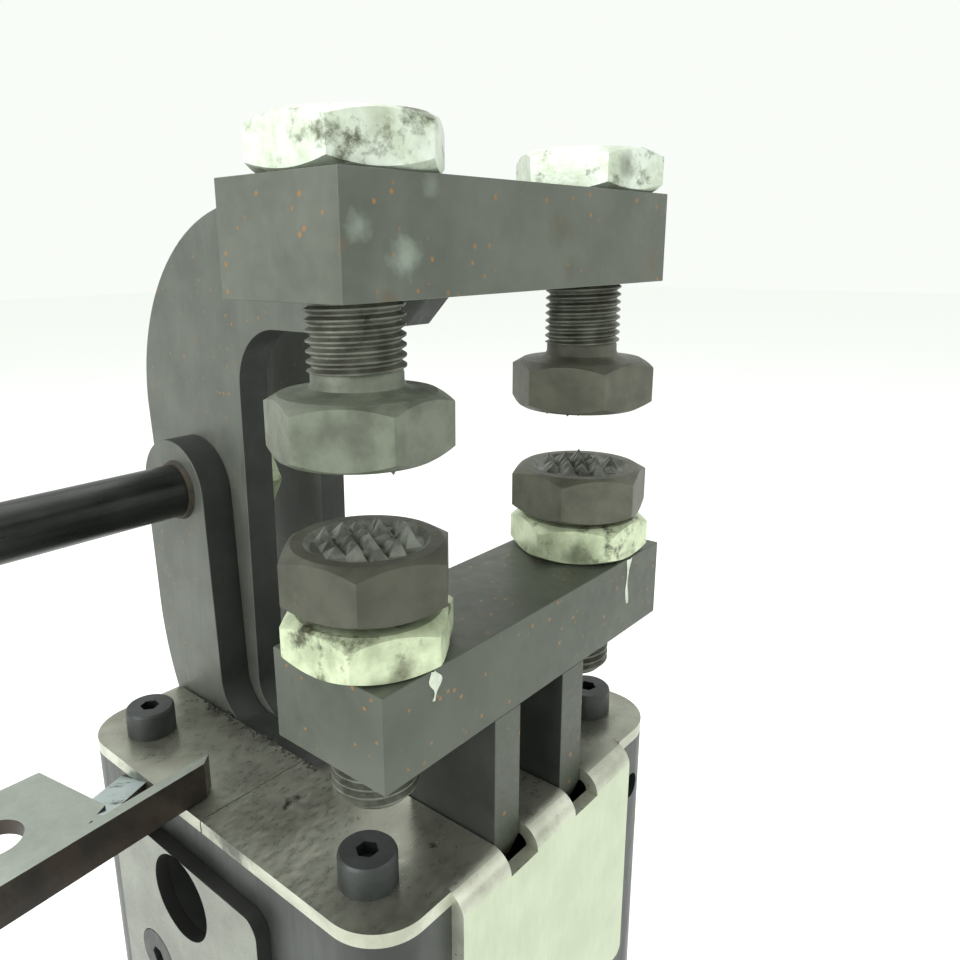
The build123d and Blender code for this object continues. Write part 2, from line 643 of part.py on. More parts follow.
crossbar(LOWER_BAR_X, LOWER_BAR_BOTTOM, 0, "lower_crossbar")
crossbar(UPPER_BAR_X, UPPER_BAR_BOTTOM, UPPER_BOLT_SHIFT, "upper_crossbar")


def lower_leg(inner_x, name):
    """Leg plate of the lower jaw, stepped back behind the front cover's skirt."""
    with BuildPart() as leg:
        with BuildSketch(Plane.YZ.offset(inner_x)):
            with BuildLine():
                Polyline(
                    (BAR_FRONT, LOWER_BAR_BOTTOM),
                    (BAR_FRONT, COVER_TOP - 1.5),
                    (BAR_FRONT + LEG_STEP, COVER_TOP - 6.2),
                    (BAR_FRONT + LEG_STEP, FRONT_SILL + 0.1),
                    (LEG_BACK, FRONT_SILL + 0.1),
                    (LEG_BACK, LOWER_BAR_BOTTOM),
                    close=True,
                )
            make_face()
            with Locations(*[(LEG_DOWEL_Y, z) for z in LEG_DOWEL_Z]):
                Circle(LEG_DOWEL / 2, mode=Mode.SUBTRACT)
        extrude(amount=PLATE)
    save(leg.part, name)


lower_leg(-LEG_INNER_X - PLATE, "lower_leg_left")
lower_leg(LEG_INNER_X, "lower_leg_right")

with BuildPart() as leg_dowels:
    with BuildSketch(Plane.YZ.offset(-29.0)):
        with Locations(*[(LEG_DOWEL_Y, z) for z in LEG_DOWEL_Z]):
            Circle(LEG_DOWEL / 2)
    extrude(amount=58.0)
save(leg_dowels.part, "leg_dowels")

with BuildPart() as lower_gripper_bolts:
    settings = zip(bolt_places(0), LOWER_HEAD_BOTTOMS, LOWER_BOLT_LENGTHS, LOWER_HEAD_TURNS)
    for place, seat, length, turn in settings:
        with BuildSketch(Plane.XY.offset(seat)):
            with Locations(place):
                RegularPolygon(HEX_RADIUS, 6, rotation=turn)
        extrude(amount=HEAD_HEIGHT)
        with BuildSketch(Plane.XY.offset(seat)):
            with Locations(place):
                Circle(BOLT_DIAMETER / 2)
        extrude(amount=-length)
save(lower_gripper_bolts.part, "lower_gripper_bolts")


def jam_nuts(bottom, shift, turns, name):
    """The two jam nuts that lock the gripper bolts of one jaw."""
    with BuildPart() as nuts:
        with BuildSketch(Plane.XY.offset(bottom)):
            for place, turn in zip(bolt_places(shift), turns):
                with Locations(place):
                    RegularPolygon(HEX_RADIUS, 6, rotation=turn)
                    Circle(BOLT_DIAMETER / 2 + RUNNING_GAP, mode=Mode.SUBTRACT)
        extrude(amount=JAM_NUT)
    save(nuts.part, name)


jam_nuts(LOWER_BAR_TOP, 0, LOWER_NUT_TURNS, "lower_jam_nuts")
jam_nuts(UPPER_BAR_TOP, UPPER_BOLT_SHIFT, UPPER_NUT_TURNS, "upper_jam_nuts")

# ---------------------------------------------------------------- upper jaw


def upper_arm(start_x, handle_hole, name):
    """C-shaped arm plate with its pivot boss, its tail and the cam slot that the roller drives."""
    corner_y = ARM_INNER_Y - ARM_INNER_RADIUS
    corner_z = ARM_INNER_TOP - ARM_INNER_RADIUS
    slot = cam_slot()
    with BuildPart() as arm:
        with BuildSketch(Plane.YZ.offset(start_x)):
            with BuildLine():
                l1 = Line((BAR_BACK, UPPER_BAR_BOTTOM), (BAR_BACK, UPPER_BAR_TOP))
                l2 = Line(l1 @ 1, (ARM_OUTER_Y, UPPER_BAR_TOP))
                l3 = RadiusArc(l2 @ 1, (ARM_BACK_Y, ARM_OUTER_Z), ARM_OUTER_RADIUS)
                l4 = Line(l3 @ 1, (ARM_BACK_Y - 1.3, COVER_TOP + 24.0))
                l5 = TangentArc(l4 @ 1, (34.0, SHOULDER_Z), tangent=l4 % 1)
                l6 = Line(l5 @ 1, (32.0, SHOULDER_Z - 6.0))
                l7 = Line(l6 @ 1, (12.2, SHOULDER_Z - 6.0))
                l8 = Line(l7 @ 1, (12.2, SHOULDER_Z - 0.3))
                l9 = RadiusArc(l8 @ 1, (17.2, SHOULDER_Z + 5.0), -5.3)
                l10 = Line(l9 @ 1, (ARM_INNER_Y, corner_z))
                l11 = RadiusArc(l10 @ 1, (corner_y, ARM_INNER_TOP), -ARM_INNER_RADIUS)
                l12 = Line(l11 @ 1, (NOSE_Y, ARM_INNER_TOP))
                nose_rise = UPPER_BAR_BOTTOM - ARM_INNER_TOP
                l13 = Line(l12 @ 1, (NOSE_Y - nose_rise, UPPER_BAR_BOTTOM))
                Line(l13 @ 1, l1 @ 0)
            make_face()
        extrude(amount=PLATE)
        with BuildSketch(Plane.YZ.offset(start_x)):
            with Locations((PIVOT_Y, PIVOT_Z)):
                Circle(BOSS_RADIUS)
            with Locations(arm_frame_point(0), arm_frame_point(STROKE)):
                Circle(TAIL_RADIUS)
            with Locations((31.0, SHOULDER_Z - 3.0)):
                Circle(3.0)
            make_hull()
        extrude(amount=PLATE)
        with BuildSketch(Plane.YZ.offset(start_x)):
            with Locations((PIVOT_Y, PIVOT_Z)):
                Circle(PIVOT_DIAMETER / 2 + RUNNING_GAP)
            if handle_hole:
                with Locations((HANDLE_Y, HANDLE_Z)):
                    Circle(HANDLE_DIAMETER / 2)
            add(slot)
        extrude(amount=PLATE, mode=Mode.SUBTRACT)
    save(arm.part, name)


upper_arm(LEFT_ARM_X, True, "upper_arm_left")
upper_arm(RIGHT_ARM_X, False, "upper_arm_right")

with BuildPart() as hand_lever:
    with BuildSketch(Plane.YZ.offset(LEVER_X)):
        with BuildLine():
            front_y = LEVER_TOP_Y - LEVER_RADIUS
            back_y = LEVER_TOP_Y + LEVER_RADIUS
            l1 = Line((19.9, SHOULDER_Z + 6.0), (front_y, LEVER_TOP_Z))
            l2 = ThreePointArc(l1 @ 1, (LEVER_TOP_Y, LEVER_TOP_Z + LEVER_RADIUS), (back_y, LEVER_TOP_Z))
            l3 = Line(l2 @ 1, (36.3, COVER_TOP + 14.0))
            l4 = TangentArc(l3 @ 1, (33.2, SHOULDER_Z), tangent=l3 % 1)
            l5 = Line(l4 @ 1, (31.6, SHOULDER_Z - 6.0))
            l6 = Line(l5 @ 1, (13.9, SHOULDER_Z - 6.0))
            l7 = Line(l6 @ 1, (13.9, SHOULDER_Z - 0.3))
            RadiusArc(l7 @ 1, l1 @ 0, -6.3)
        make_face()
    extrude(amount=PLATE)
    with BuildSketch(Plane.YZ.offset(LEVER_X)):
        with Locations((PIVOT_Y, PIVOT_Z)):
            Circle(BOSS_RADIUS)
        with Locations((29.0, SHOULDER_Z - 4.0)):
            Circle(4.0)
        make_hull()
    extrude(amount=PLATE)
    with BuildSketch(Plane.YZ.offset(LEVER_X)):
        with Locations((PIVOT_Y, PIVOT_Z)):
            Circle(PIVOT_DIAMETER / 2 + RUNNING_GAP)
        with Locations((HANDLE_Y, HANDLE_Z)):
            Circle(HANDLE_DIAMETER / 2)
    extrude(amount=PLATE, mode=Mode.SUBTRACT)
save(hand_lever.part, "hand_lever")

with BuildPart() as handle_rod:
    with BuildSketch(Plane.YZ.offset(HANDLE_OUTER_X)):
        with Locations((HANDLE_Y, HANDLE_Z)):
            Circle(HANDLE_DIAMETER / 2)
    extrude(amount=LEFT_ARM_X + PLATE + HANDLE_NUT + 1.0 - HANDLE_OUTER_X)
    chamfer(handle_rod.edges().filter_by(GeomType.CIRCLE), 1.0)
save(handle_rod.part, "handle_rod")

with BuildPart() as handle_nut:
    with BuildSketch(Plane.YZ.offset(LEFT_ARM_X + PLATE)):
        with Locations((HANDLE_Y, HANDLE_Z)):
            RegularPolygon(13.0 / math.sqrt(3), 6)
            Circle(HANDLE_DIAMETER / 2 + RUNNING_GAP, mode=Mode.SUBTRACT)
    extrude(amount=HANDLE_NUT)
save(handle_nut.part, "handle_nut")

with BuildPart() as arm_spacer:
    with BuildSketch(Plane.YZ.offset(LEFT_ARM_X + PLATE)):
        with Locations((PIVOT_Y, PIVOT_Z)):
            Circle(7.0)
            Circle(PIVOT_DIAMETER / 2 + FIT_GAP, mode=Mode.SUBTRACT)
    extrude(amount=RIGHT_ARM_X - LEFT_ARM_X - PLATE)
save(arm_spacer.part, "arm_spacer")

with BuildPart() as upper_gripper_bolts:
    settings = zip(bolt_places(UPPER_BOLT_SHIFT), UPPER_HEAD_BOTTOMS, UPPER_HEAD_TURNS)
    for place, bottom, turn in settings:
        with BuildSketch(Plane.XY.offset(bottom)):
            with Locations(place):
                RegularPolygon(HEX_RADIUS, 6, rotation=turn)
        extrude(amount=HEAD_HEIGHT)
        with BuildSketch(Plane.XY.offset(bottom + HEAD_HEIGHT)):
            with Locations(place):
                Circle(BOLT_DIAMETER / 2)
        extrude(amount=UPPER_BOLT_LENGTH)
save(upper_gripper_bolts.part, "upper_gripper_bolts")

# ---------------------------------------------------------------- crosshead

TONGUE_X = LEFT_ARM_X + PLATE + 0.5
TONGUE_WIDTH = RIGHT_ARM_X - LEFT_ARM_X - PLATE - 1.0

with BuildPart() as crosshead:
    with BuildSketch(Plane.XY.offset(CROSSHEAD_BOTTOM)):
        Rectangle(16.0, 20.0)
        Circle(STUD_DIAMETER / 2 + RUNNING_GAP, mode=Mode.SUBTRACT)
    extrude(amount=CROSSHEAD_BASE - 1.0)
    with BuildSketch(Plane.XY.offset(CROSSHEAD_BOTTOM + CROSSHEAD_BASE - 1.0)):
        Rectangle(16.0, 20.0)
    extrude(amount=1.0)
    with BuildSketch(Plane.YZ.offset(TONGUE_X)):
        with Locations((DRIVE_PIN_Y, DRIVE_PIN_Z)):
            Circle(6.5)
        with Locations((0, CROSSHEAD_BOTTOM + CROSSHEAD_BASE)):
            Rectangle(20.0, 0.4)
        make_hull()
        with Locations((DRIVE_PIN_Y, DRIVE_PIN_Z)):
            Circle(DRIVE_PIN_DIAMETER / 2, mode=Mode.SUBTRACT)
    extrude(amount=TONGUE_WIDTH)
save(crosshead.part, "crosshead")

with BuildPart() as drive_pin:
    with BuildSketch(Plane.YZ.offset(LEFT_ARM_X + 0.2)):
        with Locations((DRIVE_PIN_Y, DRIVE_PIN_Z)):
            Circle(DRIVE_PIN_DIAMETER / 2)
    extrude(amount=RIGHT_ARM_X + PLATE - LEFT_ARM_X - 0.4)
save(drive_pin.part, "drive_pin")

with BuildPart() as cam_rollers:
    for start in (LEFT_ARM_X + 0.3, RIGHT_ARM_X + 0.3):
        with BuildSketch(Plane.YZ.offset(start)):
            with Locations((DRIVE_PIN_Y, DRIVE_PIN_Z)):
                Circle(ROLLER_DIAMETER / 2)
                Circle(DRIVE_PIN_DIAMETER / 2 + RUNNING_GAP, mode=Mode.SUBTRACT)
        extrude(amount=PLATE - 0.6)
save(cam_rollers.part, "cam_rollers")
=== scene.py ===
"""Looks of the pneumatic clamp: worn black steel jaws, grimy zinc nuts, toothed bolts and plated covers."""

import json
import math
import random

import bmesh
import bpy
from mathutils import Matrix, Vector

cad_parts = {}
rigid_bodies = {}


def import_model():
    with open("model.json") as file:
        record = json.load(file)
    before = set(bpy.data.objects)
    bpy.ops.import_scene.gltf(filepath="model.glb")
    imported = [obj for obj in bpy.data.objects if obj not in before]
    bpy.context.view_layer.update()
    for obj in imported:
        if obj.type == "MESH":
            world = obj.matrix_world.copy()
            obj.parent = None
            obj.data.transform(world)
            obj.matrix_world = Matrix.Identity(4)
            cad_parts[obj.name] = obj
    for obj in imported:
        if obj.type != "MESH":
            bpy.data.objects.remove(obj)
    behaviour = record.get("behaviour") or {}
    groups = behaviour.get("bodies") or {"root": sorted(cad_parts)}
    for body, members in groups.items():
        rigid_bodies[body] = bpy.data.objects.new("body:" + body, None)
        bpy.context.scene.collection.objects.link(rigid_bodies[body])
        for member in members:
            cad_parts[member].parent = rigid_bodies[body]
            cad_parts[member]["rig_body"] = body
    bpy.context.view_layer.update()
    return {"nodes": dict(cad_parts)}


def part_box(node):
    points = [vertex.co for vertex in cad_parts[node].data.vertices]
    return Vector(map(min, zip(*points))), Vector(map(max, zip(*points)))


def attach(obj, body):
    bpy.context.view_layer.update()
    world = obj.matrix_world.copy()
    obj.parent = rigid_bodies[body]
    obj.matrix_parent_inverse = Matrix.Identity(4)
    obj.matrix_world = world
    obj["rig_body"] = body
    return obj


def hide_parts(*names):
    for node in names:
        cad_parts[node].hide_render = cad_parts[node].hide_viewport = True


MM = 0.001
COVER_TOP = 136.0
BOLT_Y = -22.5
BOLT_X = 20.9
HEX_FLATS = 17.0
JAM_NUT = 5.2
HEAD = 6.5
UPPER_BAR_TOP = COVER_TOP + 76.3
UPPER_SHIFT = -0.5
UPPER_HEADS = (COVER_TOP + 49.6, COVER_TOP + 48.6)
LOWER_BAR_TOP = COVER_TOP + 27.7
LOWER_HEADS = (COVER_TOP + 33.8, COVER_TOP + 33.4)

# Plain neck under a bolt head, as (radius over the thread's, distance from the seat)
NECK = ((-0.45, 2.3), (-0.3, 1.9), (-0.3, 1.1), (-0.1, 0.6), (0.5, 0.22), (1.5, 0.05), (3.0, 0.0))
NECK_LENGTH = 2.2

BOLT_RADIUS = 5.0
THREAD_PITCH = 1.0
THREAD_DEPTH = 0.52
UPPER_BOLT_LENGTH = 25.0
LOWER_BOLT_LENGTHS = (23.6, 24.5)
TOOTH_PITCH = 2.05
TOOTH_FIELD = 5.3
NUT_BORE = 5.05
COVER_SCREW_AT = 23.5
RUN_BACK = -31.03
RUN_FRONT = -31.16
SLOT_DIRT_X = 14.2
SLOT_DIRT_Y = (-3.0, 24.0)
HANDLE_LEFT = -88
FLOOR_HALF = 4000
LIGHT_TARGET = (0, 0, 0.16)
CAMERA_PLACE = (-76.7, -82.2, COVER_TOP + 69.7)
CAMERA_ROLL = -0.632

random.seed(7)
scene = bpy.context.scene
scene.view_settings.view_transform = "Standard"
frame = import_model()


# ---------------------------------------------------------------- materials


def ramp(nodes, links, source, stops):
    """Colour ramp fed by source. Stops are (position, grey or colour)."""
    node = nodes.new("ShaderNodeValToRGB")
    elements = node.color_ramp.elements
    while len(elements) < len(stops):
        elements.new(0.5)
    for element, (position, value) in zip(elements, stops):
        element.position = position
        element.color = (value, value, value, 1) if isinstance(value, float) else (*value, 1)
    links.new(source, node.inputs[0])
    return node.outputs[0]


def noise(nodes, links, coordinates, scale, detail=4.0, stretch=(1, 1, 1), roughness=0.55):
    """Noise with scale in cycles per millimetre, stretched along the axes."""
    mapping = nodes.new("ShaderNodeMapping")
    mapping.inputs["Scale"].default_value = [1000 * scale * s for s in stretch]
    links.new(coordinates, mapping.inputs["Vector"])
    node = nodes.new("ShaderNodeTexNoise")
    node.inputs["Scale"].default_value = 1.0
    node.inputs["Detail"].default_value = detail
    node.inputs["Roughness"].default_value = roughness
    links.new(mapping.outputs[0], node.inputs["Vector"])
    return node.outputs["Fac"]


def mixed(nodes, links, factor, first, second):
    """Colour mix. Each input is a socket or a colour."""
    node = nodes.new("ShaderNodeMix")
    node.data_type = "RGBA"
    links.new(factor, node.inputs["Factor"])
    for socket, value in ((node.inputs[6], first), (node.inputs[7], second)):
        if isinstance(value, tuple):
            socket.default_value = (*value, 1)
        else:
            links.new(value, socket)
    return node.outputs[2]


def stained(nodes, links, coordinates, colour, place, radius, stain_colour, strength):
    """Soft ragged stain round a place, over the colour that is there."""
    distance = nodes.new("ShaderNodeVectorMath")
    distance.operation = "DISTANCE"
    links.new(coordinates, distance.inputs[0])
    distance.inputs[1].default_value = [v * MM for v in place]
    ragged = nodes.new("ShaderNodeMath")
    ragged.operation = "MULTIPLY_ADD"
    links.new(distance.outputs["Value"], ragged.inputs[0])
    ragged.inputs[1].default_value = 1 / (radius * MM)
    links.new(noise(nodes, links, coordinates, 0.45, 5.0), ragged.inputs[2])
    mask = ramp(nodes, links, ragged.outputs[0], [(0.0, strength), (0.55, strength), (1.0, 0.0)])
    return mixed(nodes, links, mask, colour, stain_colour)


def metal(name, base, second, metallic, rough, patches=0.12, brush=(1, 1, 1),
          rust=0.0, rust_colour=(0.22, 0.09, 0.03), specks=0.0,
          grime=0.0, grime_colour=(0.02, 0.02, 0.016), bump=0.15, stains=()):
    """Worn metal: two mixed tones, brushed roughness, rust patches, rust specks, dark grime and stains.

    Each stain is (place and radius in millimetres, colour, strength).
    """
    material = bpy.data.materials.new(name)
    material.use_nodes = True
    nodes = material.node_tree.nodes
    links = material.node_tree.links
    shader = nodes["Principled BSDF"]
    coordinates = nodes.new("ShaderNodeTexCoord").outputs["Object"]
    broad = noise(nodes, links, coordinates, patches, 5.0)
    fine = noise(nodes, links, coordinates, 1.4, 5.0, brush)
    tone = ramp(nodes, links, broad, [(0.38, 0.0), (0.62, 1.0)])
    colour = mixed(nodes, links, tone, base, second)
    grain = ramp(nodes, links, fine, [(0.3, 0.90), (0.7, 1.0)])
    multiply = nodes.new("ShaderNodeMix")
    multiply.data_type = "RGBA"
    multiply.blend_type = "MULTIPLY"
    multiply.inputs["Factor"].default_value = 1.0
    links.new(colour, multiply.inputs[6])
    links.new(grain, multiply.inputs[7])
    colour = multiply.outputs[2]
    if grime > 0:
        dirt = noise(nodes, links, coordinates, 0.22, 8.0, roughness=0.7)
        mask = ramp(nodes, links, dirt, [(0.66 - grime, 0.0), (0.72 - grime * 0.6, 1.0)])
        colour = mixed(nodes, links, mask, colour, grime_colour)
    if rust > 0:
        stain = noise(nodes, links, coordinates, 0.3, 8.0, roughness=0.75)
        mask = ramp(nodes, links, stain, [(0.72 - rust, 0.0), (0.80 - rust, 0.85)])
        colour = mixed(nodes, links, mask, colour, rust_colour)
    if specks > 0:
        mapping = nodes.new("ShaderNodeMapping")
        mapping.inputs["Scale"].default_value = [1000 * specks] * 3
        links.new(coordinates, mapping.inputs["Vector"])
        cells = nodes.new("ShaderNodeTexVoronoi")
        cells.inputs["Scale"].default_value = 1.0
        links.new(mapping.outputs[0], cells.inputs["Vector"])
        dots = ramp(nodes, links, cells.outputs["Distance"], [(0.10, 1.0), (0.17, 0.0)])
        chosen = ramp(nodes, links, noise(nodes, links, coordinates, 0.9, 2.0), [(0.44, 0.0), (0.52, 1.0)])
        both = nodes.new("ShaderNodeMath")
        both.operation = "MULTIPLY"
        links.new(dots, both.inputs[0])
        links.new(chosen, both.inputs[1])
        colour = mixed(nodes, links, both.outputs[0], colour, (0.24, 0.13, 0.045))
    for place, radius, stain_colour, strength in stains:
        colour = stained(nodes, links, coordinates, colour, place, radius, stain_colour, strength)
    links.new(colour, shader.inputs["Base Color"])
    shader.inputs["Metallic"].default_value = metallic
    spread = ramp(nodes, links, fine, [(0.25, max(rough - 0.08, 0.05)), (0.75, min(rough + 0.12, 1.0))])
    links.new(spread, shader.inputs["Roughness"])
    if bump > 0:
        relief = nodes.new("ShaderNodeBump")
        relief.inputs["Strength"].default_value = bump
        relief.inputs["Distance"].default_value = 0.0002
        links.new(fine, relief.inputs["Height"])
        links.new(relief.outputs[0], shader.inputs["Normal"])
    return material


OLIVE = (0.075, 0.075, 0.045)
PALE = (0.26, 0.31, 0.26)
SOOT = (0.03, 0.032, 0.024)

JAW = metal("jaw steel", (0.112, 0.122, 0.104), (0.086, 0.095, 0.080), 0.25, 0.42,
            brush=(1, 1, 0.12), specks=0.62)
UPPER_BAR = metal("upper bar steel", (0.114, 0.126, 0.102), (0.088, 0.098, 0.078), 0.25, 0.42,
                  brush=(0.5, 0.5, 0.5), specks=0.55, bump=0.08, stains=(
                      ((-28.4, -31.0, COVER_TOP + 71.6), 3.4, PALE, 0.55),
                      ((-23.0, -31.0, COVER_TOP + 68.9), 4.6, PALE, 0.75),
                      ((-19.5, -31.0, COVER_TOP + 75.4), 3.0, PALE, 0.4),
                      ((1.5, -31.0, COVER_TOP + 71.6), 5.5, OLIVE, 0.6),
                      ((4.0, -31.0, COVER_TOP + 67.5), 3.4, OLIVE, 0.6),
                      ((22.5, -31.0, COVER_TOP + 67.5), 4.6, (0.11, 0.085, 0.045), 0.6),
                      ((-30.6, -31.0, COVER_TOP + 70.0), 2.0, (0.13, 0.10, 0.06), 0.6),
                      ((-25.0, -31.0, COVER_TOP + 65.2), 3.0, (0.10, 0.08, 0.045), 0.6),
                  ))
LOWER_BAR = metal("lower bar steel", (0.084, 0.095, 0.074), (0.068, 0.077, 0.060), 0.25, 0.42,
                  brush=(0.5, 0.5, 0.5), specks=0.55, bump=0.08, stains=(
                      ((-15.0, -16.0, COVER_TOP + 27.7), 7.0, SOOT, 0.6),
                      ((20.0, -29.5, COVER_TOP + 27.7), 7.0, OLIVE, 0.4),
                  ))
# Darker copy of the jaw steel: painted shade on the arms' edge faces and the legs' side faces
JAW_PAINTED_SHADE = metal("jaw painted shade", (0.040, 0.044, 0.039), (0.026, 0.029, 0.025), 0.25, 0.5,
                 brush=(1, 0.3, 0.3))
LEG_FRONT = metal("leg front", (0.074, 0.084, 0.064), (0.056, 0.064, 0.049), 0.25, 0.42, specks=0.4)
UPPER_ZINC = metal("grimy zinc above", (0.70, 0.77, 0.68), (0.54, 0.61, 0.48), 0.35, 0.34, patches=0.3,
                   grime=0.12, grime_colour=(0.12, 0.13, 0.085), stains=(
                       ((-25.5, -31.0, COVER_TOP + 80.0), 3.2, (0.20, 0.22, 0.12), 0.6),
                       ((16.5, -31.0, COVER_TOP + 79.0), 4.5, (0.10, 0.11, 0.075), 0.75),
                   ))
LOWER_ZINC = metal("grimy zinc below", (0.62, 0.70, 0.48), (0.40, 0.46, 0.30), 0.35, 0.38, patches=0.28,
                   grime=0.12, grime_colour=(0.075, 0.08, 0.045), stains=(
                       ((-24.0, -30.2, COVER_TOP + 28.8), 4.2, (0.085, 0.09, 0.05), 0.8),
                       ((13.5, -27.0, COVER_TOP + 29.5), 4.4, (0.085, 0.09, 0.06), 0.8),
                   ))
ZINC = LOWER_ZINC
HEAD_STEEL = metal("bolt head steel", (0.110, 0.112, 0.082), (0.074, 0.076, 0.056), 0.25, 0.5, patches=0.25,
                   rust=0.05, rust_colour=(0.14, 0.10, 0.065), bump=0.25)
HEAD_PALE = metal("bolt head plated", (0.155, 0.175, 0.132), (0.095, 0.107, 0.078), 0.3, 0.45, patches=0.25,
                  rust=0.03, rust_colour=(0.12, 0.10, 0.06), bump=0.25)
HEAD_DARK = metal("bolt head oiled", (0.072, 0.074, 0.053), (0.050, 0.051, 0.037), 0.25, 0.5, patches=0.25,
                  rust=0.06, rust_colour=(0.11, 0.075, 0.045), bump=0.25)
TOOTH = metal("toothed face", (0.20, 0.215, 0.185), (0.075, 0.078, 0.062), 0.4, 0.42, patches=0.4, bump=0.2)
THREAD = metal("thread", (0.17, 0.18, 0.145), (0.075, 0.078, 0.06), 0.45, 0.4, patches=0.3, grime=0.05)
# The sheet tops' dark base is partly painted reflection of the dark jaws and partly real grime; the skirts
# stay lighter
PLATE = metal("plated sheet", (0.44, 0.45, 0.375), (0.24, 0.245, 0.20), 0.8, 0.30, patches=0.06,
              brush=(0.5, 1, 1), grime=0.05, grime_colour=(0.06, 0.06, 0.045), bump=0.06, stains=(
                  ((-23.5, -23.5, COVER_TOP), 8.5, SOOT, 0.6),
                  ((-23.5, 23.5, COVER_TOP), 7.5, SOOT, 0.6),
                  ((23.5, -23.5, COVER_TOP), 8.5, SOOT, 0.5),
                  ((23.5, 23.5, COVER_TOP), 7.5, SOOT, 0.5),
                  ((-14.0, 8.0, COVER_TOP), 5.0, SOOT, 0.7),
                  ((-14.0, 20.0, COVER_TOP), 5.0, SOOT, 0.7),
                  ((-12.0, -4.0, COVER_TOP), 6.0, SOOT, 0.6),
                  ((-4.0, -14.0, COVER_TOP), 9.0, SOOT, 0.6),
                  ((8.0, -18.0, COVER_TOP), 8.0, SOOT, 0.5),
              ))
SKIRT = metal("plated skirt", (0.56, 0.62, 0.46), (0.50, 0.56, 0.41), 0.35, 0.40,
              brush=(1, 1, 0.2), bump=0.05)
EDGE = metal("sheet edge", (0.60, 0.62, 0.52), (0.42, 0.43, 0.35), 0.7, 0.32, bump=0.04, stains=(
    ((-30.5, -6.0, COVER_TOP), 13.0, SOOT, 0.85),
    ((-30.5, 14.0, COVER_TOP), 12.0, SOOT, 0.75),
))
# Near-black painted shade for the side plates' edge faces and bore walls
SIDE_PLATE_SHADE = metal("shaded edge", (0.016, 0.017, 0.015), (0.010, 0.011, 0.010), 0.2, 0.6)
SIDE = metal("side plate", (0.24, 0.25, 0.215), (0.17, 0.177, 0.152), 0.85, 0.24, bump=0.03)
BODY = metal("anodised body", (0.055, 0.060, 0.055), (0.035, 0.038, 0.036), 0.4, 0.38, brush=(1, 1, 0.1),
             rust=0.04, rust_colour=(0.16, 0.16, 0.14))
SCREW = metal("cap screw", (0.048, 0.054, 0.052), (0.032, 0.036, 0.034), 0.35, 0.45, patches=0.3, bump=0.2)
# Near-black painted shade inside the screws' hexagon sockets
SOCKET_SHADE = metal("socket", (0.014, 0.016, 0.015), (0.009, 0.010, 0.010), 0.3, 0.5)
ROD = metal("oily rod", (0.016, 0.018, 0.016), (0.026, 0.028, 0.025), 0.5, 0.3, brush=(0.1, 1, 1))
ROD_RUST = metal("rod rust", (0.055, 0.045, 0.03), (0.03, 0.026, 0.02), 0.2, 0.6, patches=0.5)
STRAP = metal("bracket top", (0.38, 0.415, 0.365), (0.32, 0.35, 0.31), 0.5, 0.36, bump=0.05)
STRAP_EDGE = metal("bracket edge", (0.030, 0.026, 0.022), (0.052, 0.038, 0.030), 0.4, 0.42, rust=0.04,
                   patches=0.25, rust_colour=(0.10, 0.055, 0.03))
FACET = metal("bracket foot", (0.56, 0.66, 0.68), (0.48, 0.56, 0.55), 0.3, 0.38, grime=0.06)
GROUND = metal("ground steel", (0.55, 0.55, 0.54), (0.45, 0.45, 0.44), 0.95, 0.25)
BRONZE = metal("bronze", (0.50, 0.34, 0.17), (0.40, 0.27, 0.13), 0.9, 0.35)
RUBBER = metal("rubber", (0.02, 0.02, 0.02), (0.028, 0.028, 0.028), 0.0, 0.6)
PISTON = metal("turned aluminium", (0.66, 0.66, 0.67), (0.58, 0.58, 0.59), 0.95, 0.3)
DIRT = metal("oily dirt", (0.035, 0.033, 0.025), (0.018, 0.018, 0.014), 0.0, 0.7)
PAINT = metal("paint run", (0.66, 0.72, 0.60), (0.50, 0.56, 0.46), 0.0, 0.5, patches=0.8)


# ---------------------------------------------------------------- building


def link_mesh(name, data, materials):
    """Object for a mesh, with its materials."""
    obj = bpy.data.objects.new(name, data)
    scene.collection.objects.link(obj)
    for material in materials:
        data.materials.append(material)
    return obj


def from_lists(name, points, faces, materials, kinds=None, sharp=35.0):
    """Mesh object from points in millimetres. kinds gives each face its material number."""
    data = bpy.data.meshes.new(name)
    data.from_pydata([Vector(p) * MM for p in points], [], faces)
    if kinds:
        for face, kind in zip(data.polygons, kinds):
            face.material_index = kind
    obj = link_mesh(name, data, materials)
    soften(obj, sharp)
    return obj


def soften(obj, sharp=35.0):
    """Smooth shading that stays crisp at edges sharper than the angle in degrees."""
    data = obj.data
    for face in data.polygons:
        face.use_smooth = True
    data.set_sharp_from_angle(angle=math.radians(sharp))


def refined(node, materials, bevel=0.25, choose=None):
    """Copy of a CAD node with rounded edges, which stands for the node.

    choose picks each face's material.
    """
    source = frame["nodes"][node]
    work = bmesh.new()
    work.from_mesh(source.data)
    bmesh.ops.remove_doubles(work, verts=work.verts, dist=2e-6)
    bmesh.ops.dissolve_limit(work, angle_limit=math.radians(0.5), verts=work.verts, edges=work.edges)
    data = bpy.data.meshes.new(node + "_look")
    work.to_mesh(data)
    work.free()
    if "custom_normal" in data.attributes:
        data.attributes.remove(data.attributes["custom_normal"])
    data.materials.clear()
    if choose:
        for face in data.polygons:
            face.material_index = choose(face.center / MM, face.normal)
    obj = link_mesh(node + "_look", data, materials)
    soften(obj)
    if bevel > 0:
        modifier = obj.modifiers.new("edges", "BEVEL")
        modifier.width = bevel * MM
        modifier.segments = 2
        modifier.limit_method = "ANGLE"
        modifier.angle_limit = math.radians(40)
        modifier.harden_normals = True
        modifier.use_clamp_overlap = True
    adopt(obj, node)
    return obj


def body_of(node):
    """Name of the CAD body that a node belongs to."""
    return frame["nodes"][node]["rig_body"]


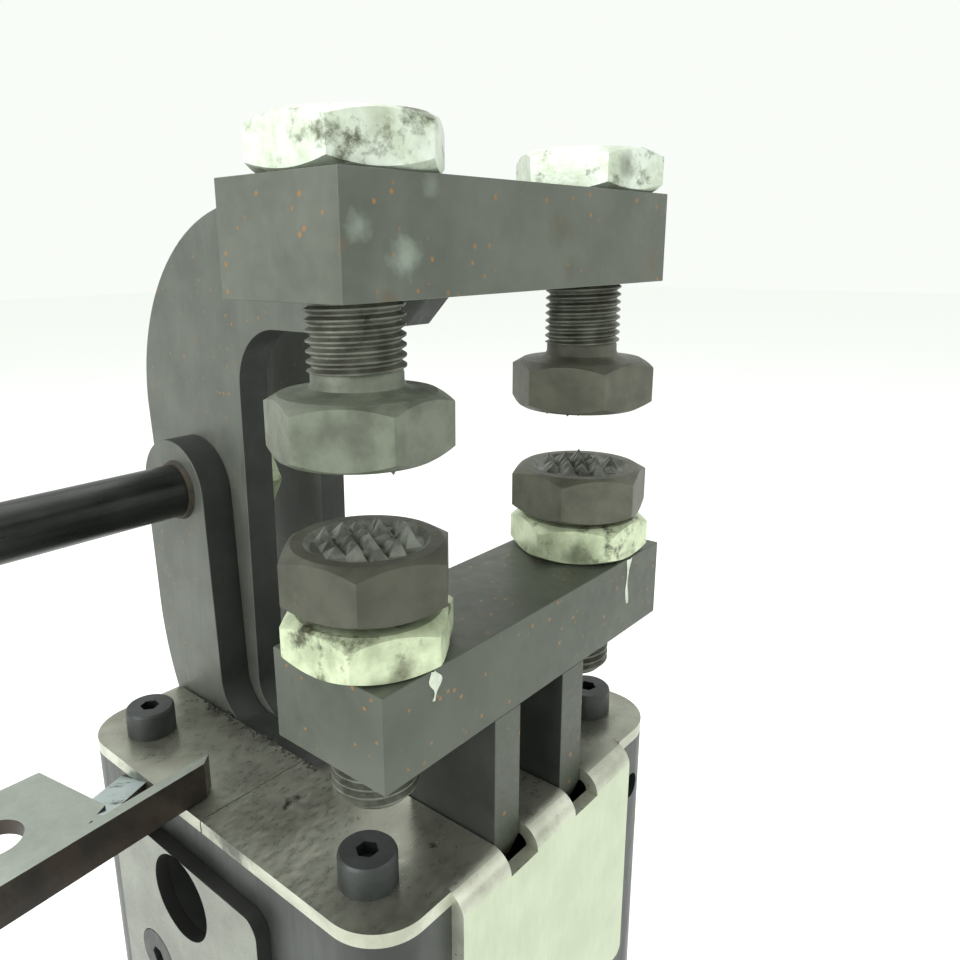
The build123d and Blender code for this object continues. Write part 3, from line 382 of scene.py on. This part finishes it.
def adopt(obj, node, stands_for=True):
    """The piece rides with a node's body and may stand for it."""
    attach(obj, body_of(node))
    if stands_for:
        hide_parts(node)


def plain(node, slot_name, material):
    """Paints a CAD node as it is."""
    data = frame["nodes"][node].data
    data.materials.clear()
    data.materials.append(material)


def hex_points(centre, bottom, height, bore, turn, cut=(True, True), steps=180):
    """Rings of a hexagon block whose corners are cut by a 30 degree cone at one or both ends."""
    half = HEX_FLATS / 2
    rim = half * 0.945
    rings = [[], [], [], []]
    for i in range(steps):
        angle = 2 * math.pi * i / steps
        offset = (angle - math.radians(turn) + math.pi / 6) % (math.pi / 3) - math.pi / 6
        reach = half / math.cos(math.pi / 6 - abs(offset))
        drop = (reach - rim) * math.tan(math.radians(30))
        low = bottom + (drop if cut[0] else 0.0)
        high = bottom + height - (drop if cut[1] else 0.0)
        for ring, r, z in (
            (rings[0], rim if cut[0] else reach, bottom),
            (rings[1], reach, low),
            (rings[2], reach, high),
            (rings[3], rim if cut[1] else reach, bottom + height),
        ):
            ring.append((centre[0] + r * math.cos(angle), centre[1] + r * math.sin(angle), z))
    floor = circle(centre, bore, bottom, steps)
    roof = [(x, y, bottom + height) for x, y, z in floor]
    return [floor] + rings + [roof]


def skin(rings, closed=True):
    """Points and faces of a surface through rings of equal length.

    closed joins the last ring to the first.
    """
    points = [p for ring in rings for p in ring]
    count = len(rings[0])
    faces = []
    for k in range(len(rings) if closed else len(rings) - 1):
        a = k * count
        b = ((k + 1) % len(rings)) * count
        for i in range(count):
            j = (i + 1) % count
            faces.append((a + i, a + j, b + j, b + i))
    return points, faces


def circle(centre, radius, z, steps):
    """Level ring of points."""
    angles = [2 * math.pi * i / steps for i in range(steps)]
    return [(centre[0] + radius * math.cos(a), centre[1] + radius * math.sin(a), z) for a in angles]


def nut(name, centre, bottom, height, turn, material):
    """Jam nut with both faces chamfered and a countersunk bore."""
    rings = hex_points(centre, bottom, height, 5.6, turn)
    steps = len(rings[0])
    rings.append(circle(centre, NUT_BORE, bottom + height - 0.5, steps))
    rings.append(circle(centre, NUT_BORE, bottom + 0.5, steps))
    points, faces = skin(rings)
    return from_lists(name, points, faces, [material], sharp=24.0)


def tooth_bolt(name, centre, seat, direction, length, turn, materials):
    """Bolt whose head carries a toothed gripping face. direction is +1 when the teeth point up."""
    head_low = seat if direction > 0 else seat - HEAD
    outer = hex_points(centre, head_low, HEAD, 7.0, turn)
    steps = len(outer[0])
    face_z = head_low + (HEAD if direction > 0 else 0.0)
    recess = face_z - direction * 0.5
    neck = [circle(centre, BOLT_RADIUS + drop, seat - direction * rise, steps) for drop, rise in NECK]
    rim = [circle(centre, r, z, steps) for r, z in ((6.7, face_z), (6.0, recess), (0.05, recess))]
    if direction > 0:
        rings = neck + outer[1:5] + rim
    else:
        rings = rim[::-1] + outer[1:5] + neck[::-1]
    points, faces = skin(rings, closed=False)
    kinds = []
    for face in faces:
        z = sum(points[i][2] for i in face) / 4
        r = max(math.hypot(points[i][0] - centre[0], points[i][1] - centre[1]) for i in face)
        kinds.append(1 if r < 6.8 and abs(z - face_z) < 1.0 else 0)
    # Teeth on a jittered grid, their tips worn to different heights
    swing = math.radians(turn + 20)
    for a in range(-4, 5):
        for b in range(-4, 5):
            u = (a + random.uniform(-0.1, 0.1)) * TOOTH_PITCH
            v = (b + random.uniform(-0.1, 0.1)) * TOOTH_PITCH
            if math.hypot(u, v) > TOOTH_FIELD:
                continue
            half = TOOTH_PITCH * random.uniform(0.46, 0.54)
            tip = direction * random.triangular(0.6, 2.1, 1.1)
            lean = (random.uniform(-0.4, 0.4), random.uniform(-0.4, 0.4))
            start = len(points)
            square = ((-half, -half, 0), (half, -half, 0), (half, half, 0), (-half, half, 0))
            for du, dv, dz in (*square, (*lean, tip)):
                x = (u + du) * math.cos(swing) - (v + dv) * math.sin(swing)
                y = (u + du) * math.sin(swing) + (v + dv) * math.cos(swing)
                points.append((centre[0] + x, centre[1] + y, recess - direction * 0.02 + dz))
            for i in range(4):
                corner = (start + i, start + (i + 1) % 4, start + 4)
                faces.append(corner if direction > 0 else corner[::-1])
                kinds.append(1)
    # Threaded shank
    tip_z = seat - direction * length
    start_z = seat - direction * NECK_LENGTH
    low, high = min(start_z, tip_z), max(start_z, tip_z)
    offset = len(points)
    more, more_faces = thread(
        centre, low, high, BOLT_RADIUS, THREAD_PITCH, THREAD_DEPTH, direction
    )
    points += more
    faces += [tuple(i + offset for i in face) for face in more_faces]
    kinds += [2] * len(more_faces)
    return from_lists(name, points, faces, materials, kinds, sharp=28.0)


def thread(centre, low, high, radius, pitch, depth, direction):
    """Helical thread between two heights. The end away from the head has a lead chamfer."""
    sides = 48
    profile = ((0.0, depth), (0.10, depth), (0.42, 0.0), (0.60, 0.0), (0.92, depth))
    turns = int((high - low) / pitch) + 3
    free = low if direction > 0 else high
    rows = []
    for k in range(-1, turns):
        for share, sink in profile:
            row = []
            for i in range(sides + 1):
                z = low + (k + share + i / sides) * pitch
                z = min(max(z, low), high)
                r = min(radius - sink, radius - 1.1 + abs(z - free))
                angle = 2 * math.pi * i / sides
                row.append((centre[0] + r * math.cos(angle), centre[1] + r * math.sin(angle), z))
            rows.append(row)
    count = sides + 1
    points = [p for row in rows for p in row]
    faces = []
    for k in range(len(rows) - 1):
        for i in range(sides):
            faces.append((k * count + i, k * count + i + 1, (k + 1) * count + i + 1, (k + 1) * count + i))
    rim = len(points)
    points += circle(centre, radius - 1.1, free, sides)
    cap = tuple(rim + i for i in range(sides))
    faces.append(cap[::-1] if direction > 0 else cap)
    return points, faces


# ---------------------------------------------------------------- jaws


def plate_faces(centre, normal):
    """Broad faces of an upright plate are the first material, its edges the second."""
    return 0 if abs(normal.x) > 0.7 else 1


# Arms and lever: broad faces take the jaw steel, edge faces its darker copy as painted shade
for node in ("upper_arm_left", "upper_arm_right", "hand_lever"):
    refined(node, [JAW, JAW_PAINTED_SHADE], 0.15, plate_faces)
# Legs: side faces take the darker copy as painted shade, front edges the leg steel
for node in ("lower_leg_left", "lower_leg_right"):
    refined(node, [JAW_PAINTED_SHADE, LEG_FRONT], 0.15, plate_faces)
refined("upper_crossbar", [UPPER_BAR], 0.12)
refined("lower_crossbar", [LOWER_BAR], 0.12)

UPPER_NUT_TURNS = (36.0, 46.6)
UPPER_HEAD_TURNS = (6.6, 49.4)
LOWER_NUT_TURNS = (33.0, 59.5)
LOWER_HEAD_TURNS = (40.0, 18.5)


def joined(objects, name):
    """Joins pieces into one."""
    bpy.ops.object.select_all(action="DESELECT")
    for obj in objects:
        obj.select_set(True)
    bpy.context.view_layer.objects.active = objects[0]
    bpy.ops.object.join()
    objects[0].name = name
    return objects[0]


PLACES = ((-BOLT_X, BOLT_Y), (BOLT_X, BOLT_Y))
UPPER_PLACES = tuple((x + UPPER_SHIFT, y) for x, y in PLACES)

nuts = [
    nut(f"upper_nut_{k}", UPPER_PLACES[k], UPPER_BAR_TOP, JAM_NUT, UPPER_NUT_TURNS[k], UPPER_ZINC)
    for k in (0, 1)
]
adopt(joined(nuts, "upper_nuts"), "upper_jam_nuts")
nuts = [
    nut(f"lower_nut_{k}", PLACES[k], LOWER_BAR_TOP, JAM_NUT, LOWER_NUT_TURNS[k], LOWER_ZINC)
    for k in (0, 1)
]
adopt(joined(nuts, "lower_nuts"), "lower_jam_nuts")

bolts = [
    tooth_bolt(f"upper_bolt_{k}", UPPER_PLACES[k], UPPER_HEADS[k] + HEAD, -1,
               UPPER_BOLT_LENGTH, UPPER_HEAD_TURNS[k],
               [(HEAD_PALE, HEAD_STEEL)[k], TOOTH, THREAD])
    for k in (0, 1)
]
adopt(joined(bolts, "upper_bolts"), "upper_gripper_bolts")
bolts = [
    tooth_bolt(f"lower_bolt_{k}", PLACES[k], LOWER_HEADS[k], 1, LOWER_BOLT_LENGTHS[k], LOWER_HEAD_TURNS[k],
               [(HEAD_DARK, HEAD_STEEL)[k], TOOTH, THREAD])
    for k in (0, 1)
]
adopt(joined(bolts, "lower_bolts"), "lower_gripper_bolts")


def paint_run(name, x, top, length, width):
    """Thin dried run of paint on the front face of the lower crossbar."""
    points = []
    faces = []
    rows = 14
    for k in range(rows + 1):
        share = k / rows
        half = width * (0.5 + 0.35 * math.sin(share * 7 + x)) * (1 - 0.55 * share)
        z = top - length * share
        drift = 0.25 * math.sin(share * 5 + x)
        points += [
            (x + drift - half, RUN_BACK, z),
            (x + drift, RUN_FRONT, z),
            (x + drift + half, RUN_BACK, z),
        ]
    for k in range(rows):
        for i in range(2):
            a = 3 * k + i
            faces.append((a, a + 1, a + 4, a + 3))
    obj = from_lists(name, points, faces, [PAINT])
    adopt(obj, "lower_crossbar", stands_for=False)


paint_run("paint_run_near", -20.0, LOWER_BAR_TOP - 0.1, 3.4, 1.5)
paint_run("paint_run_far", 20.7, LOWER_BAR_TOP - 0.1, 6.6, 0.9)

# ---------------------------------------------------------------- handle


def lathe_x(name, profile, y, z, materials, kinds=None, steps=64):
    """Turned piece along X. profile is (x, radius) pairs."""
    angles = [2 * math.pi * i / steps for i in range(steps)]
    rings = [[(x, y + r * math.cos(a), z + r * math.sin(a)) for a in angles] for x, r in profile]
    points, faces = skin(rings, closed=False)
    face_kinds = [kinds[i // steps] for i in range(len(faces))] if kinds else None
    return from_lists(name, points, faces, materials, face_kinds)


low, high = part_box("handle_rod")
rod_y = (low[1] + high[1]) / 2 / MM
rod_z = (low[2] + high[2]) / 2 / MM
end = high[0] / MM
rod_profile = [
    (HANDLE_LEFT, 0.01), (HANDLE_LEFT, 3.2), (HANDLE_LEFT + 0.8, 4.0),
    (-13.9, 4.0), (-13.9, 4.35), (-13.21, 4.6), (-13.2, 4.0),
    (end - 0.8, 4.0), (end, 3.2), (end, 0.01),
]
rod_kinds = [0, 0, 0, 1, 1, 1, 0, 0, 0]
rod = lathe_x("handle_rod", rod_profile, rod_y, rod_z, [ROD, ROD_RUST], rod_kinds)
adopt(rod, "handle_rod")

# ---------------------------------------------------------------- body


def cover_faces(centre, normal):
    """Sheet tops, skirts and cut edges."""
    if abs(normal.z) > 0.9 and centre.z > COVER_TOP - 2.5:
        return 0
    if abs(normal.y) > 0.7 and abs(centre.y) > 31.5 and centre.z < COVER_TOP - 2.5:
        return 1
    return 2


def bracket_faces(centre, normal):
    """Pale top, brown edges and a blue-white foot."""
    if normal.z > 0.95 and centre.y > 1.8 + (centre.x + 60.0) * 0.08:
        return 0
    if centre.x > -46 and 0.3 < normal.z < 0.95:
        return 2
    return 1


refined("front_cover", [PLATE, SKIRT, EDGE], 0.3, cover_faces)
refined("rear_cover", [PLATE, SKIRT, EDGE], 0.3, cover_faces)
refined("side_bracket", [STRAP, STRAP_EDGE, FACET], 0.4, bracket_faces)
# Side plates: broad faces take the plate metal, edge faces and bore walls painted shade
refined("left_side_plate", [SIDE, SIDE_PLATE_SHADE], 0.12, plate_faces)
refined("right_side_plate", [SIDE, SIDE_PLATE_SHADE], 0.12, plate_faces)
refined("housing", [BODY], 0.3)
refined("cylinder_tube", [BODY], 0.4)
refined("end_cap", [BODY], 0.4)


def cap_screw(name, centre, seat, turn):
    """Cap screw head with a rounded rim and a hexagon socket."""
    steps = 96
    hexagon = []
    for i in range(steps):
        angle = 2 * math.pi * i / steps
        offset = (angle - turn) % (math.pi / 3) - math.pi / 6
        reach = 1.2 / math.cos(offset)
        x = centre[0] + reach * math.cos(angle)
        y = centre[1] + reach * math.sin(angle)
        hexagon.append((x, y, seat + 4.0))
    head = ((3.5, -0.05), (3.5, 3.5), (3.42, 3.78), (3.2, 4.0), (1.9, 4.0))
    rings = [circle(centre, r, seat + z, steps) for r, z in head]
    rings += [hexagon, [(x, y, z - 1.6) for x, y, z in hexagon], circle(centre, 0.05, seat + 2.0, steps)]
    points, faces = skin(rings, closed=False)
    # Socket walls and floor take the painted shade
    kinds = [1 if i // steps > 4 else 0 for i in range(len(faces))]
    return from_lists(name, points, faces, [SCREW, SOCKET_SHADE], kinds)


heads = [
    cap_screw(f"cap_screw_{k}", (sx * COVER_SCREW_AT, sy * COVER_SCREW_AT), COVER_TOP, 0.4 * k)
    for k, (sx, sy) in enumerate(((-1, -1), (-1, 1), (1, -1), (1, 1)))
]
adopt(joined(heads, "cap_screw_heads"), "cover_screws")

for node, slot_name, material in (
    ("tube_orings", "seal_rubber", RUBBER),
    ("piston_seals", "seal_rubber", RUBBER),
    ("rod_seal", "seal_rubber", RUBBER),
    ("rod_wiper", "seal_rubber", RUBBER),
    ("tie_screws", "black_screws", SCREW),
    ("side_plate_screws", "black_screws", SCREW),
    ("rod_bush", "bronze", BRONZE),
    ("pivot_bushes", "bronze", BRONZE),
    ("pivot_pin", "ground_steel", GROUND),
    ("leg_dowels", "ground_steel", GROUND),
    ("drive_pin", "ground_steel", GROUND),
    ("cam_rollers", "ground_steel", GROUND),
    ("piston_rod", "ground_steel", GROUND),
    ("pivot_washer", "ground_steel", GROUND),
    ("arm_spacer", "ground_steel", GROUND),
    ("piston", "piston_aluminium", PISTON),
    ("piston_nut", "zinc_nuts", ZINC),
    ("handle_nut", "zinc_nuts", ZINC),
    ("crosshead", "jaw_steel", JAW),
):
    plain(node, slot_name, material)


def crumbs(name, edges, count):
    """Oily swarf and dirt that has gathered along edges. Each edge is (from, to) in X, Y, Z."""
    points = []
    faces = []
    for start, stop in edges:
        for _ in range(count):
            share = random.random()
            size = random.uniform(0.12, 0.42)
            place = [a + (b - a) * share + random.gauss(0, 0.35) for a, b in zip(start, stop)]
            place[2] = start[2] + size * 0.2
            first = len(points)
            for k in range(6):
                angle = k * math.pi / 3 + random.uniform(-0.3, 0.3)
                reach = size * random.uniform(0.6, 1.2)
                x = place[0] + reach * math.cos(angle)
                y = place[1] + reach * math.sin(angle)
                points.append((x, y, place[2] - size * 0.2))
            points.append((place[0], place[1], place[2] + size * random.uniform(0.4, 0.9)))
            faces += [(first + k, first + (k + 1) % 6, first + 6) for k in range(6)]
    obj = from_lists(name, points, faces, [DIRT])
    adopt(obj, "rear_cover", stands_for=False)


crumbs("slot_dirt", [
    ((-SLOT_DIRT_X, SLOT_DIRT_Y[0], COVER_TOP), (-SLOT_DIRT_X, SLOT_DIRT_Y[1], COVER_TOP)),
    ((-24.5, 20.5, COVER_TOP), (-20.0, 26.0, COVER_TOP)),
    ((SLOT_DIRT_X, SLOT_DIRT_Y[0], COVER_TOP), (SLOT_DIRT_X, SLOT_DIRT_Y[1], COVER_TOP)),
], 90)

# ---------------------------------------------------------------- stage, light and camera

FLOOR = bpy.data.materials.new("pale floor")
FLOOR.use_nodes = True
floor_shader = FLOOR.node_tree.nodes["Principled BSDF"].inputs
floor_shader["Base Color"].default_value = (0.965, 0.975, 0.96, 1)
floor_shader["Roughness"].default_value = 1.0
floor_shader["Specular IOR Level"].default_value = 0.0
floor_corners = [(sx * FLOOR_HALF, sy * FLOOR_HALF, 0) for sx, sy in ((-1, -1), (1, -1), (1, 1), (-1, 1))]
floor = from_lists("floor", floor_corners, [(0, 1, 2, 3)], [FLOOR])

world = bpy.data.worlds.new("studio")
scene.world = world
world.use_nodes = True
world.node_tree.nodes["Background"].inputs["Color"].default_value = (0.97, 1.0, 0.96, 1)
world.node_tree.nodes["Background"].inputs["Strength"].default_value = 0.98


def area(name, place, target, size, power, colour=(1, 1, 1)):
    """Square soft light aimed at a point, in metres."""
    light = bpy.data.lights.new(name, "AREA")
    light.size = size
    light.energy = power
    light.color = colour
    obj = bpy.data.objects.new(name, light)
    scene.collection.objects.link(obj)
    obj.location = place
    obj.rotation_euler = (Vector(target) - Vector(place)).to_track_quat("-Z", "Y").to_euler()
    return obj


area("key", (0.35, -0.75, 0.75), LIGHT_TARGET, 0.6, 1.5)
area("left", (-0.8, 0.1, 0.5), LIGHT_TARGET, 0.6, 5.5)
area("top", (0.1, 0.3, 1.0), LIGHT_TARGET, 0.7, 3.0)

camera_data = bpy.data.cameras.new("camera")
camera = bpy.data.objects.new("camera", camera_data)
scene.collection.objects.link(camera)
scene.camera = camera
camera_data.lens = 30.69
camera_data.sensor_width = 36.0
camera_data.shift_x = 0.0399
camera_data.shift_y = -0.0173
camera_data.clip_start = 0.005
camera_data.clip_end = 20.0
forward = Vector((0.726, 0.639, -0.2532)).normalized()
right = Vector((0.6605, -0.7508, 0.0)).normalized()
up = right.cross(forward)
turn = Matrix((right, up, -forward)).transposed()
camera.matrix_world = Matrix.Translation(Vector(CAMERA_PLACE) * MM) @ (
    turn @ Matrix.Rotation(math.radians(CAMERA_ROLL), 3, "Z")
).to_4x4()
